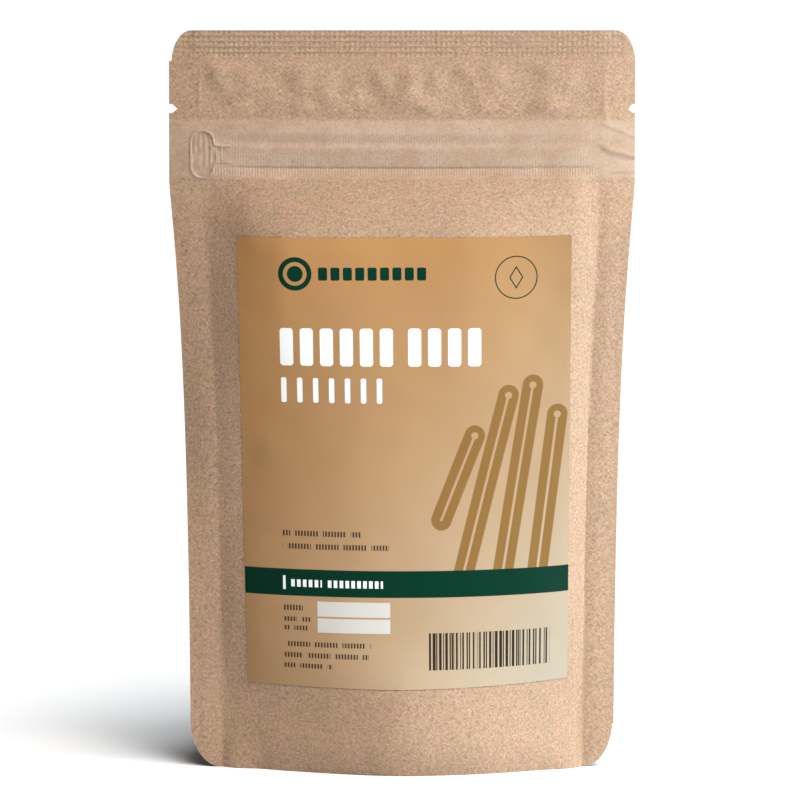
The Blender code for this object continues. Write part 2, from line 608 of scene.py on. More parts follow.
@dataclass(frozen=True)
class ZipRelief:
    """Lines that the zip presses through the paper."""

    heights: tuple[float, ...] = (
        0.1689, 0.1685, 0.1654, 0.1649, 0.1631, 0.1626, 0.1616, 0.1611, 0.1584, 0.1567,
        0.1563, 0.1560, 0.1546, 0.1535, 0.1490, 0.1430, 0.1200,
    )
    rises: tuple[float, ...] = (
        0.0, 0.16, 0.84, 0.84, 0.50, 0.52, 0.98, 0.98, 0.62, 0.46,
        0.02, 0.34, 1.00, 1.30, 1.70, 1.70, 0.0,
    )
    soften: float = 0.00016
    dip: float = 0.0004
    left_fade: tuple[float, float] = (-0.0500, -0.0350)
    right_fade: tuple[float, float] = (0.0440, 0.0510)
    crushed_rise: float = 0.00030
    crushed_foot: tuple[float, float] = (0.1520, 0.1545)
    crushed_head: tuple[float, float] = (0.1675, 0.1690)

    def depth(self, x: Array, z: Array) -> Array:
        """Rise of the paper over the zip.

        The listed rises joined by straight lines and averaged over five near heights, fading to a
        low flat strip where the zip's ends are crushed into the side seals.

        Args:
            x: Places across.
            z: Heights, same shape.

        Returns:
            The rises in metres.
        """
        sagged = z + self.dip * (1.0 - (x / 0.05) ** 2)
        offsets = self.soften * np.linspace(-1.0, 1.0, 5)
        heights, rises = self.heights[::-1], self.rises[::-1]
        full = np.mean([np.interp(sagged + step, heights, rises) for step in offsets], axis=0)
        share = between(x, self.left_fade, self.right_fade)
        strip = between(z, self.crushed_foot, self.crushed_head)
        return full * MM * share + self.crushed_rise * strip * (1.0 - share)


@dataclass(frozen=True)
class TabRelief:
    """The crushed zip end on the left: an upright rounded bar with a short neck to the right."""

    bar_centre: tuple[float, float] = (-0.0515, 0.1596)
    bar_half: tuple[float, float] = (0.0029, 0.0061)
    neck_centre: tuple[float, float] = (-0.0462, 0.1596)
    neck_half: tuple[float, float] = (0.0062, 0.0021)
    corners: tuple[float, float] = (0.0028, 0.0003)
    blend: float = 0.0016
    line_half: float = 0.00021
    line_rise: float = 0.00040
    sunk: float = 0.00016
    line_end: tuple[float, float] = (-0.0449, -0.0438)
    sunk_end: tuple[float, float] = (-0.0492, -0.0420)
    wrinkle: float = 0.00008
    wrinkle_length: float = 0.0014

    @staticmethod
    def _bar(
        x: Array, z: Array, centre: Sequence[float], half: Sequence[float], radius: float
    ) -> Array:
        """Distance to a rounded rectangle, negative inside.

        Args:
            x: Places across.
            z: Heights, same shape.
            centre: Middle of the rectangle.
            half: Its half width and half height.
            radius: Radius of its corners.

        Returns:
            The distances.
        """
        across = np.abs(x - centre[0]) - half[0] + radius
        up = np.abs(z - centre[1]) - half[1] + radius
        outside = np.hypot(np.maximum(across, 0.0), np.maximum(up, 0.0))
        return outside + np.minimum(np.maximum(across, up), 0.0) - radius

    def depth(self, x: Array, z: Array) -> Array:
        """Rise of the tab: a thin raised line along its outline and a sunk, wrinkled inside.

        The outline is where the smooth least of the two rectangles' distances is 0; the neck is
        open at its right end.

        Args:
            x: Places across.
            z: Heights, same shape.

        Returns:
            The rises in metres.
        """
        bar = self._bar(x, z, self.bar_centre, self.bar_half, self.corners[0])
        neck = self._bar(x, z, self.neck_centre, self.neck_half, self.corners[1])
        share = np.clip(0.5 + 0.5 * (neck - bar) / self.blend, 0.0, 1.0)
        edge = neck * (1.0 - share) + bar * share - self.blend * share * (1.0 - share)
        line = hill(edge, self.line_half) * (1.0 - eased(x, *self.line_end))
        floor = (1.0 - eased(edge, -0.0004, 0.0)) * (1.0 - eased(x, *self.sunk_end))
        wrinkles = self.wrinkle * ripple(x, 0.35 * z, 5, self.wrinkle_length)
        return self.line_rise * line + (wrinkles - self.sunk) * floor


@dataclass(frozen=True)
class HeadRelief:
    """The flat head: rows of the heat seal, and loose paper between them and the zip."""

    press: float = 0.00010
    row_ends: tuple[float, float] = (0.0570, 0.0585)
    loose_foot: tuple[float, float] = (0.1684, 0.1722)
    loose_head: tuple[float, float] = (0.1800, 0.1846)
    puff: float = 0.00040
    dents: float = 0.00032
    dent_lengths: tuple[float, float] = (0.0190, 0.0075)
    fine_share: float = 0.42
    edge_rise: float = 0.00013
    edge_reach: float = 0.00055
    edge_foot: tuple[float, float] = (0.1690, 0.1705)
    edge_head: tuple[float, float] = (0.1800, 0.1840)

    def rows(self, x: Array, z: Array) -> Array:
        """Rows of the heat seal: a cosine down the head, only inside its band.

        Args:
            x: Places across.
            z: Heights, same shape.

        Returns:
            The rises in metres, 0 or less.
        """
        place = (z - SEAL_FOOT) / SEAL_PITCH
        band = between(place, (0.0, 0.3), (SEAL_ROWS - 0.3, SEAL_ROWS + 0.1))
        across = 1.0 - eased(np.abs(x), *self.row_ends)
        return -self.press * band * across * (0.5 - 0.5 * np.cos(2.0 * math.pi * place))

    def loose(self, x: Array, z: Array, inner: Array, side: Side) -> Array:
        """Soft dents inside the side seals, and a fine ridge where each seal begins.

        Args:
            x: Places across.
            z: Heights, same shape.
            inner: Half width inside the side seals, same shape.
            side: Side of the pouch, which picks the dents.

        Returns:
            The rises in metres.
        """
        inside = eased(inner - np.abs(x), 0.0, 0.0040)
        broad = ripple(x, 1.3 * z, 11 + side.value, self.dent_lengths[0])
        fine = ripple(x, z, 41 + side.value, self.dent_lengths[1])
        puff = self.puff + self.dents * (broad + self.fine_share * fine)
        edge = hill(np.abs(x) - inner - 0.0002, self.edge_reach)
        return (
            inside * between(z, self.loose_foot, self.loose_head) * puff
            + self.edge_rise * edge * between(z, self.edge_foot, self.edge_head)
        )


@dataclass(frozen=True)
class SealRelief:
    """The side seals: creases where the zip's ends are crushed into them, and their inner ridge.

    A crease is its height, rise, slant and reach. The patch stands a little proud on the left.
    """

    creases: tuple[tuple[float, float, float, float], ...] = (
        (0.1676, 0.00034, 0.42, 0.00060),
        (0.1612, 0.00062, 0.26, 0.00065),
        (0.1597, -0.00034, 0.20, 0.00045),
        (0.1546, -0.00035, 0.0, 0.00028),
    )
    patch_rise: float = 0.00010
    patch_edge: tuple[float, float] = (0.0550, 0.0554)
    patch_foot: tuple[float, float] = (0.1575, 0.1578)
    patch_head: tuple[float, float] = (0.1664, 0.1667)
    ridge_rise: float = 0.00020
    ridge_place: float = 0.0032
    ridge_reach: float = 0.0026
    ridge_head: tuple[float, float] = (0.1480, 0.1540)

    def depth(self, x: Array, z: Array, inner: Array) -> Array:
        """Rise of the seals.

        On the right each crease is e to the minus squared height above its own slanted line.

        Args:
            x: Places across.
            z: Heights, same shape.
            inner: Half width inside the side seals, same shape.

        Returns:
            The rises in metres.
        """
        outward = np.abs(x) - inner
        lines = sum(
            rise * hill(z - height + slant * (x - inner), reach)
            for height, rise, slant, reach in self.creases
        )
        patch = eased(-x, *self.patch_edge) * between(z, self.patch_foot, self.patch_head)
        ridge = hill(outward - self.ridge_place, self.ridge_reach) * eased(outward, 0.0, 0.0008)
        low = 1.0 - eased(z, *self.ridge_head)
        return (
            eased(x - inner, -0.0010, 0.0008) * lines
            + self.patch_rise * patch
            + self.ridge_rise * ridge * low
        )


@dataclass(frozen=True)
class BodyRelief:
    """The filled part: soft undulation, the tuck and keel at the foot, and the bulge of the filling."""

    dents: float = 0.00042
    dent_lengths: tuple[float, float] = (0.0340, 0.0130)
    dent_head: tuple[float, float] = (0.1440, 0.1530)
    tuck: tuple[float, float] = (0.0018, 0.0320)
    hem: tuple[float, float] = (0.0024, 0.0090)
    keel: float = 0.0031
    keel_reach: float = 0.0180
    keel_head: tuple[float, float] = (0.0180, 0.0360)
    shoulder: float = 0.0042
    shoulder_foot: tuple[float, float] = (0.0780, 0.1350)
    shoulder_head: tuple[float, float] = (0.1350, 0.1550)
    shoulder_left: tuple[float, float] = (-0.0500, -0.0290)
    shoulder_right: tuple[float, float] = (0.0150, 0.0480)
    wall: float = 0.0024
    wall_left: tuple[float, float] = (-0.0516, -0.0380)
    wall_right: tuple[float, float] = (-0.0380, 0.0100)
    wall_foot: tuple[float, float] = (0.0950, 0.1250)
    wall_head: tuple[float, float] = (0.1400, 0.1520)

    def _undulation(self, x: Array, z: Array, side: Side) -> Array:
        """Broad and fine soft dents, calmer in the middle and none near the zip.

        Args:
            x: Places across.
            z: Heights, same shape.
            side: Side of the pouch, which picks the dents.

        Returns:
            The rises in metres.
        """
        broad = ripple(x, 0.55 * z, 23 + side.value, self.dent_lengths[0])
        fine = ripple(x, z, 31 + side.value, self.dent_lengths[1])
        calm = 0.30 + 0.70 * eased(np.abs(x), 0.020, 0.046)
        return self.dents * (broad + 0.25 * fine) * calm * (1.0 - eased(z, *self.dent_head))

    def _foot(self, x: Array, z: Array) -> Array:
        """Paper drawn in at the foot, more at its hem, and a soft keel in the middle.

        Args:
            x: Places across.
            z: Heights, same shape.

        Returns:
            The rises in metres.
        """
        tucked = -self.tuck[0] * (1.0 - eased(z, 0.0, self.tuck[1]))
        hem = -self.hem[0] * np.clip(1.0 - z / self.hem[1], 0.0, 1.0) ** 2
        keel = self.keel * np.exp(-np.hypot(x, 0.005) / self.keel_reach)
        return tucked + hem + keel * (1.0 - eased(z, *self.keel_head))

    def depth(self, x: Array, z: Array, inner: Array, side: Side) -> Array:
        """Rise of the filled part.

        Args:
            x: Places across.
            z: Heights, same shape.
            inner: Half width inside the side seals, same shape.
            side: Side of the pouch: only the front has the steeper wall at the upper left.

        Returns:
            The rises in metres.
        """
        inside = eased(inner - np.abs(x), 0.0005, 0.0120)
        across = eased(x, *self.shoulder_left) * (1.0 - 0.65 * eased(x, *self.shoulder_right))
        rise = (self._undulation(x, z, side) + self._foot(x, z)) * inside
        rise = rise + self.shoulder * between(z, self.shoulder_foot, self.shoulder_head) * across
        if side is Side.BACK:
            return rise
        wall = between(x, self.wall_left, self.wall_right)
        return rise + self.wall * wall * between(z, self.wall_foot, self.wall_head)


@dataclass(frozen=True)
class PaperRelief:
    """All that is pressed, dented or creased into one side of the pouch."""

    side: Side
    form: PouchForm
    zip_lines: ZipRelief = field(default_factory=ZipRelief)
    tab: TabRelief = field(default_factory=TabRelief)
    head: HeadRelief = field(default_factory=HeadRelief)
    seals: SealRelief = field(default_factory=SealRelief)
    body: BodyRelief = field(default_factory=BodyRelief)

    def depth(self, x: Array, z: Array) -> Array:
        """Total rise of the paper over the plain skin.

        Args:
            x: Places across.
            z: Heights, same shape.

        Returns:
            The rises in metres.
        """
        inner = self.form.inner_half(z)
        return (
            self.head.rows(x, z)
            + self.head.loose(x, z, inner, self.side)
            + self.zip_lines.depth(x, z)
            + (self.tab.depth(x, z) if self.side is Side.FRONT else 0.0)
            + self.seals.depth(x, z, inner)
            + self.body.depth(x, z, inner, self.side)
        )


# ---------------------------------------------------------------- finishes


@dataclass(frozen=True)
class KraftPaper:
    """Matt brown kraft: short slanted fibres, soft mottling, rare dark specks, smoother over the zip.

    Sizes and places are in millimetres. The slope is painted light and shade, a change of tone for each
    millimetre: darker to the left of the first limit and lighter by twice as much to the right of the
    second.
    """

    name: str = "kraft_paper"
    body: Colour = (0.300, 0.193, 0.122)
    pink: Colour = (0.310, 0.190, 0.126)
    olive: Colour = (0.288, 0.194, 0.117)
    speck: Colour = (0.055, 0.028, 0.015)
    pressed: Colour = (0.330, 0.228, 0.160)
    grain: float = 0.85
    grain_waves: float = 1.50
    fibre: float = 1.45
    fibre_turns: tuple[float, float] = (36.0, -47.0)
    fibre_size: tuple[float, float, float] = (1.20, 0.40, 0.40)
    mottle: float = 0.16
    mottle_waves: float = 0.11
    tint_waves: float = 0.21
    # painted light and shade: change of tone for each millimetre across the paper
    painted_light_slope: float = 0.0011
    painted_shade_from: float = 20.0
    painted_light_from: float = 40.0
    roughness: float = 0.80
    relief: float = 0.00009
    zip_zone: tuple[float, float] = (153.4, 168.3)
    rib_zone: tuple[float, float] = (153.8, 166.0)
    strip_top: float = 156.2
    rib_pitch: float = 0.73
    dot_pitch: float = 1.30

    def material(self) -> bpy.types.Material:
        """Builds the paper's nodes.

        Returns:
            The material.
        """
        s = Shading(self.name)
        place = s.place()
        x, _, z = s.split(place)
        zip_band = s.above(z, self.zip_zone[0], 0.6) * s.below(z, self.zip_zone[1], 0.8)
        calm = 1.0 - zip_band * 0.55
        grain = s.noise(place, self.grain_waves, 3.0, 0.70)
        rising, falling = (
            s.noise(s.turned(place, turn, self.fibre_size), 1.0, 1.5, 0.6) for turn in self.fibre_turns
        )
        fibres = s.greatest(rising, falling)
        mottle = s.noise(place, self.mottle_waves, 3.0, 0.6)
        tint = s.noise(place, self.tint_waves, 2.0, 0.5)
        uneven = self.grain * (grain - 0.5) + self.fibre * (fibres - 0.56)
        gain = 1.0 + uneven * calm + self.mottle * (mottle - 0.5)
        # Painted shade to the left and painted light to the right: the tone falls left of one limit and
        # rises right of another.
        left = s.least(x - self.painted_shade_from, 0.0)
        right = s.greatest(x - self.painted_light_from, 0.0)
        gain = gain + self.painted_light_slope * (left + 2.0 * right)
        hue = s.mix(s.above(tint, 0.62, 0.25), self.body, self.pink)
        hue = s.mix(s.below(tint, 0.38, 0.25), hue, self.olive)
        hue = s.mix(zip_band * s.above(mottle, 0.45, 0.3), hue, self.pressed)
        colour = s.mix(self._specks(s, place), s.scaled(hue, gain), self.speck)
        pressed = self._seal_dots(s, x, z, mottle) + self._ribs(s, x, z, mottle)
        height = (grain * 0.5 + fibres * 0.8) * calm + pressed
        return s.finish(
            {"Specular IOR Level": 0.25},
            {
                "Base Color": colour,
                "Roughness": self.roughness + 0.12 * (grain - 0.5) - zip_band * 0.15,
                "Normal": s.bump(height, self.relief),
            },
        )

    @staticmethod
    def _specks(s: Shading, place: Value) -> Value:
        """Rare dark bits of bark: the middles of a few cells, squeezed into short flecks.

        Args:
            s: The paper's shading.
            place: Place in millimetres.

        Returns:
            1 in a speck.
        """
        cells = s.turned(place, 35.0, (6.5, 5.0, 2.6))
        near = s.node("ShaderNodeTexVoronoi", None, {"Vector": cells, "Scale": 1.0})
        chance = s.noise(place, 0.11, 0.0)
        return s.below(near, 0.045, 0.03) * s.above(chance, 0.54, 0.02) * 0.8

    def _seal_dots(self, s: Shading, x: Value, z: Value, uneven: Value) -> Value:
        """Rows of dashes of the heat seal, as heights.

        Args:
            s: The paper's shading.
            x: Place across.
            z: Height.
            uneven: Noise that leaves some of the rows faint.

        Returns:
            The height at the point, 0 or less.
        """
        foot, pitch = SEAL_FOOT / MM, SEAL_PITCH / MM
        row = abs(s.sine((z - foot) * (math.pi / pitch)))
        dash = 0.55 + 0.45 * abs(s.sine(x * (math.pi / self.dot_pitch)))
        band = s.above(z, foot + 0.2, 0.4) * s.below(z, foot + SEAL_ROWS * pitch, 0.4)
        inside = s.below(abs(x), 57.0, 1.5) * s.above(uneven, 0.38, 0.25)
        return row * dash * band * inside * -3.2

    def _ribs(self, s: Shading, x: Value, z: Value, uneven: Value) -> Value:
        """Upright ribs over the zip, as heights: strongest on the strip below it.

        Args:
            s: The paper's shading.
            x: Place across.
            z: Height.
            uneven: Noise that bends the ribs and leaves some of them faint.

        Returns:
            The height at the point.
        """
        rib = s.sine(x * (2.0 * math.pi / self.rib_pitch) + uneven * 9.0)
        zone = s.above(z, self.rib_zone[0], 0.8) * s.below(z, self.rib_zone[1], 1.5)
        strip = s.below(z, self.strip_top, 0.4)
        return rib * zone * s.below(abs(x), 50.0, 3.0) * (0.16 * s.above(uneven, 0.45, 0.2) + 0.26 * strip)


class PrintPlane:
    """Simple printed shapes as masks, in millimetres from the label's lower left corner."""

    def __init__(self, s: Shading, soft: float) -> None:
        """Reads the place on the label.

        Args:
            s: The label's shading.
            soft: Width of the edge of every shape.
        """
        self.s = s
        self.soft = soft
        self.u, self.v, _ = s.split(s.node("ShaderNodeUVMap", {"uv_map": PRINT_MAP}))

    def inside(self, distance: Value, limit: float = 0.0) -> Value:
        """1 where a distance is under the limit."""
        return self.s.below(distance, limit, self.soft)

    def length(self, across: Value, up: Value) -> Value:
        """Length of a step across and up."""
        return self.s.maths("SQRT", across * across + up * up)

    def joined(self, masks: Sequence[Value]) -> Value:
        """The greatest of several masks."""
        return reduce(self.s.greatest, masks)

    def beyond(self, box: Sequence[float]) -> tuple[Value, Value]:
        """How far past a box's sides and past its ends: left, right, foot and top.

        Args:
            box: Left, right, foot and top.

        Returns:
            Distances across and up, negative inside.
        """
        left, right, foot, top = box
        across = abs(self.u - 0.5 * (left + right)) - 0.5 * (right - left)
        return across, abs(self.v - 0.5 * (foot + top)) - 0.5 * (top - foot)

    def box(self, box: Sequence[float]) -> Value:
        """1 inside an upright rectangle."""
        return self.inside(self.s.greatest(*self.beyond(box)))

    def from_point(self, point: Sequence[float]) -> Value:
        """Distance from a point."""
        return self.length(self.u - point[0], self.v - point[1])

    def from_line(self, start: Sequence[float], end: Sequence[float]) -> Value:
        """Distance from the straight line between two points.

        Args:
            start: One end.
            end: The other end.

        Returns:
            The distance.
        """
        length = math.dist(start, end)
        along_u, along_v = (end[0] - start[0]) / length, (end[1] - start[1]) / length
        du, dv = self.u - start[0], self.v - start[1]
        along = self.s.least(self.s.greatest(du * along_u + dv * along_v, 0.0), length)
        return self.length(du - along * along_u, dv - along * along_v)

    def blocks(self, box: Sequence[float], pitch: float, fill: float, turn: float = 0.0) -> Value:
        """A row of upright blocks inside a box.

        Args:
            box: Left, right, foot and top of the row.
            pitch: Distance from one block to the next.
            fill: Width of a block as a share of the pitch.
            turn: Radius of a block's corners.

        Returns:
            1 inside the blocks.
        """
        half = 0.5 * fill * pitch
        side, up = self.beyond(box)
        across = self.s.greatest(abs(((self.u - box[0]) % pitch) - half) - half, side)
        if not turn:
            return self.inside(self.s.greatest(across, up))
        over = (self.s.greatest(away + turn, 0.0) for away in (across, up))
        return self.inside(self.length(*over), turn)


@dataclass(frozen=True)
class PrintedLabel:
    """Satin paper label, printed with fields of colour and simple shapes. Sizes in millimetres."""

    name: str = "label_print"
    width: float = 88.0
    height: float = 118.0
    tan: Colour = (0.305, 0.155, 0.055)
    cream: Colour = (0.335, 0.284, 0.208)
    motif: Colour = (0.180, 0.094, 0.028)
    green: Colour = (0.0018, 0.0240, 0.0130)
    white: Colour = (0.680, 0.680, 0.670)
    field_white: Colour = (0.450, 0.430, 0.400)
    ink: Colour = (0.022, 0.016, 0.012)
    soft: float = 0.09
    roughness: float = 0.42
    band: tuple[float, float] = (23.7, 30.7)

    def material(self) -> bpy.types.Material:
        """Builds the print's nodes.

        Returns:
            The material.
        """
        s = Shading(self.name)
        plane = PrintPlane(s, self.soft)
        # Share of the upper right corner: it makes the print more cream and adds a little painted shade
        # there.
        right = s.greatest(plane.u - 50.0, 0.0) * plane.v / (38.0 * self.height)
        colour = self._ground(s, plane, right)
        band = s.above(plane.v, self.band[0], self.soft) * s.below(plane.v, self.band[1], self.soft)
        for mask, ink in (
            (self._motif(plane), self.motif),
            (band, self.green),
            (self._badge(plane), self.green),
            (self._white(plane), self.white),
            (self._fields(plane), self.field_white),
            (self._small_print(plane), self.ink),
            (self._bars(plane), self.ink),
        ):
            colour = s.mix(mask, colour, ink)
        grain = s.noise(s.place(), 1.2, 3.0, 0.6)
        # Random grain of the paper, times painted shade towards the edges of the print.
        colour = s.scaled(colour, (0.975 + 0.05 * grain) * self._painted_shade(s, plane, right))
        return s.finish(
            {"Specular IOR Level": 0.02},
            {
                "Base Color": colour,
                "Roughness": self.roughness + 0.08 * (grain - 0.5),
                "Normal": s.bump(grain, 0.000006),
            },
        )

    def _ground(self, s: Shading, plane: PrintPlane, right: Value) -> Value:
        """Tan at the top and left, running into cream towards the lower right corner."""
        low = s.maths("POWER", s.greatest(1.0 - plane.v / self.height, 0.0), 1.25)
        share = low * (0.18 + plane.u * (0.82 / self.width)) + 0.04 + 0.10 * right
        return s.mix(share, self.tan, self.cream)

    def _painted_shade(self, s: Shading, plane: PrintPlane, right: Value) -> Value:
        """Painted shade on the print: darker towards the right edge, at the lower left and a little
        towards the upper right corner.

        Args:
            s: The label's shading.
            plane: The print's plane.
            right: Share of the upper right corner.

        Returns:
            The gain, 1 at most.
        """
        # Painted shade: darker towards the right edge and at the lower left.
        edge_shade = s.greatest(plane.u - 38.0, 0.0) / 50.0
        lower_left_shade = s.greatest(34.0 - plane.u, 0.0) / 34.0 * s.below(plane.v, 76.0, 36.0)
        return 1.0 - 0.17 * edge_shade * edge_shade - 0.21 * lower_left_shade - 0.08 * right

    def _motif(self, plane: PrintPlane) -> Value:
        """A fan of plain rolled sticks at the lower right: rounded bars, each with a slit to its end.

        Args:
            plane: The print's plane.

        Returns:
            1 where it prints.
        """
        sticks = (
            ((53.5, 44.0), (62.5, 66.0)),
            ((59.5, 30.0), (71.5, 76.5)),
            ((69.5, 26.0), (78.0, 79.0)),
            ((79.0, 26.0), (84.6, 71.0)),
        )
        masks = []
        for start, end in sticks:
            away = plane.from_line(start, end)
            hollow = plane.s.greatest(plane.inside(away, 0.34), plane.inside(plane.from_point(end), 0.95))
            masks.append(plane.inside(away, 2.75) * (1.0 - hollow))
        return plane.joined(masks) * plane.s.above(plane.v, 27.0, 0.5)

    def _badge(self, plane: PrintPlane) -> Value:
        """A ringed disc with a row of blocks beside it, and a thin ring with a lozenge at the right.

        Args:
            plane: The print's plane.

        Returns:
            1 where it prints.
        """
        disc = plane.from_point((15.1, 108.7))
        seal = (73.4, 107.5)
        lozenge = abs(plane.u - seal[0]) + abs(plane.v - seal[1]) * 0.62
        return plane.joined(
            (
                plane.inside(abs(disc - 3.75), 0.65),
                plane.inside(disc, 2.1),
                plane.blocks((21.2, 49.9, 107.0, 110.4), 3.26, 0.74, 0.5),
                plane.inside(abs(plane.from_point(seal) - 5.5), 0.15),
                plane.inside(abs(lozenge - 1.7), 0.18),
            )
        )

    def _white(self, plane: PrintPlane) -> Value:
        """White blocks in place of the heading, a thinner row under it, and the marks on the band.

        Args:
            plane: The print's plane.

        Returns:
            1 where it prints.
        """
        return plane.joined(
            (
                plane.blocks((10.8, 41.8, 84.4, 94.4), 5.3, 0.66, 0.9),
                plane.blocks((44.8, 65.2, 84.4, 94.4), 5.3, 0.66, 0.9),
                plane.blocks((10.9, 39.9, 74.6, 81.2), 4.25, 0.34, 0.5),
                plane.box((10.4, 11.1, 25.3, 28.9)),
                plane.blocks((12.6, 21.0, 26.1, 28.0), 1.6, 0.62),
                plane.blocks((22.6, 37.6, 26.1, 28.0), 1.6, 0.62),
            )
        )

    def _fields(self, plane: PrintPlane) -> Value:
        """Two empty fields for writing in."""
        return plane.joined([plane.box((19.7, 39.5, *level)) for level in ((18.5, 22.4), (14.3, 18.0))])

    def _small_print(self, plane: PrintPlane) -> Value:
        """Rows of fine dark dashes in place of the small print, with a gap now and then.

        Args:
            plane: The print's plane.

        Returns:
            1 where it prints.
        """
        rows = (
            (10.6, 31.7, 39.4, 40.8),
            (10.5, 39.3, 36.0, 37.4),
            (10.5, 15.7, 19.9, 21.3),
            (10.6, 18.0, 17.0, 18.2),
            (10.6, 17.0, 14.7, 15.9),
            (10.6, 34.4, 10.4, 11.7),
            (10.5, 33.6, 7.5, 8.8),
            (10.4, 23.6, 4.8, 6.0),
        )
        s = plane.s
        dashes = [
            plane.blocks(row, 0.82, 0.62) * s.above(s.sine(plane.u * 0.83 + 1.7 * number), -0.86, 0.1)
            for number, row in enumerate(rows)
        ]
        return plane.joined(dashes) * 0.9

    def _bars(self, plane: PrintPlane) -> Value:
        """Upright bars of uneven width, from the sum of three sines, in a plain block.

        Args:
            plane: The print's plane.

        Returns:
            1 where it prints.
        """
        s, u = plane.s, plane.u
        wave = s.sine(u * 6.9) + s.sine(u * 4.15 + 0.8) + s.sine(u * 10.7 + 2.0) * 0.8
        return s.above(wave, -0.05, 0.25) * plane.box((50.0, 83.1, 4.8, 14.4))


@dataclass(frozen=True)
class StudioFloor:
    """Plain white floor."""

    name: str = "studio_floor"
    colour: Colour = (0.800, 0.818, 0.832)

    def material(self) -> bpy.types.Material:
        """Builds the floor's material, a faintly uneven white.

        Returns:
            The material.
        """
        s = Shading(self.name)
        grain = s.noise(s.place(), 0.4, 2.0)
        return s.finish(
            {"Base Color": (*self.colour, 1.0), "Specular IOR Level": 0.0},
            {"Roughness": 0.9 + 0.04 * (grain - 0.5)},
        )


# ---------------------------------------------------------------- the pouch's sheets


@dataclass
class PaperWeb:
    """The front or back web of paper, from the foot's edge to the head's."""

    side: Side
    form: PouchForm
    thickness: float = 0.00022
    flange_columns: tuple[int, int] = (32, 16)
    body_columns: int = 182
    tab_share: float = 0.155
    tab_columns: int = 34

    def rows(self) -> Array:
        """Heights of the grid's rows: close over the zip, the top seal, the notches and the corners.

        Returns:
            The heights, rising.
        """
        form = self.form
        foot_tall = form.base_corner[1]
        parts = (
            foot_tall * (1.0 - np.cos(np.linspace(0.0, 0.5 * math.pi, 10))),
            [form.punch_height[1], form.punch_height[1] + form.punch_edge],
            np.arange(0.0145, 0.1515, 0.0023),
            np.arange(0.1518, 0.1554, 0.00030),
            np.arange(0.1555, 0.1571, 0.00016),
            np.arange(0.1573, 0.1700, 0.00026),
            form.notch_height + form.notch_half * np.array((-1.15, -1.0, -0.5, 0.0, 0.5, 1.0, 1.15)),
            np.arange(0.1740, 0.1830, 0.0012),
            [form.punch_height[0], form.punch_height[0] + form.punch_edge],
            np.arange(0.1842, 0.1902, 0.00036),
            form.height - form.top_corner[1] * (1.0 - np.cos(np.linspace(0.0, 0.5 * math.pi, 10))),
        )
        heights = np.sort(np.concatenate([np.asarray(part, dtype=float) for part in parts]))
        keep = np.concatenate(([True], np.diff(heights) > 0.00012))
        return heights[keep]

    def columns(self) -> tuple[Array, Array, Array]:
        """Shares across the left seal, the body and the right seal, each from 0 to 1.

        Returns:
            The shares of each span.
        """
        left = np.linspace(0.0, 1.0, self.flange_columns[0] + 1)[:-1]
        right = np.linspace(0.0, 1.0, self.flange_columns[1] + 1)[1:]
        tab = np.linspace(0.0, 0.5 * self.tab_share, self.tab_columns + 1)[:-1]
        wide = np.linspace(0.5 * self.tab_share, 1.0, self.body_columns + 1)
        return left, np.concatenate((tab, wide)), right

    def surface(self) -> Array:
        """Outer points: x from the shares between cut edge, seal and seal, y from skin plus relief.

        Returns:
            The points, row by row upwards.
        """
        z = self.rows()[:, None]
        inner = self.form.inner_half(z)
        left, body, right = self.columns()
        left_edge, right_edge = -self.form.edge_half(z, -1), self.form.edge_half(z, 1)
        spans = ((left_edge, -inner, left), (-inner, inner, body), (inner, right_edge, right))
        x = np.concatenate([start + (end - start) * share for start, end, share in spans], axis=1)
        z = np.broadcast_to(z, x.shape)
        relief = PaperRelief(self.side, self.form).depth(x, z)
        depth = np.maximum(self.form.skin(x, z) + relief, self.thickness + 0.00002)
        y = self.form.seam(x, z) + self.side.value * depth
        points = np.stack((x, y, z), axis=-1)
        return points if self.side is Side.FRONT else points[:, ::-1]

    def build(self, finish: bpy.types.Material) -> bpy.types.Object:
        """Makes the web, dresses it and lets it stand for the solid pouch.

        Args:
            finish: The paper's material.

        Returns:
            The web's object.
        """
        name = "front_paper" if self.side is Side.FRONT else "back_paper"
        made = Sheet(name, self.surface(), self.thickness).build()
        made.data.materials.append(finish)
        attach(made, "root")
        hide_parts("pouch")
        return made


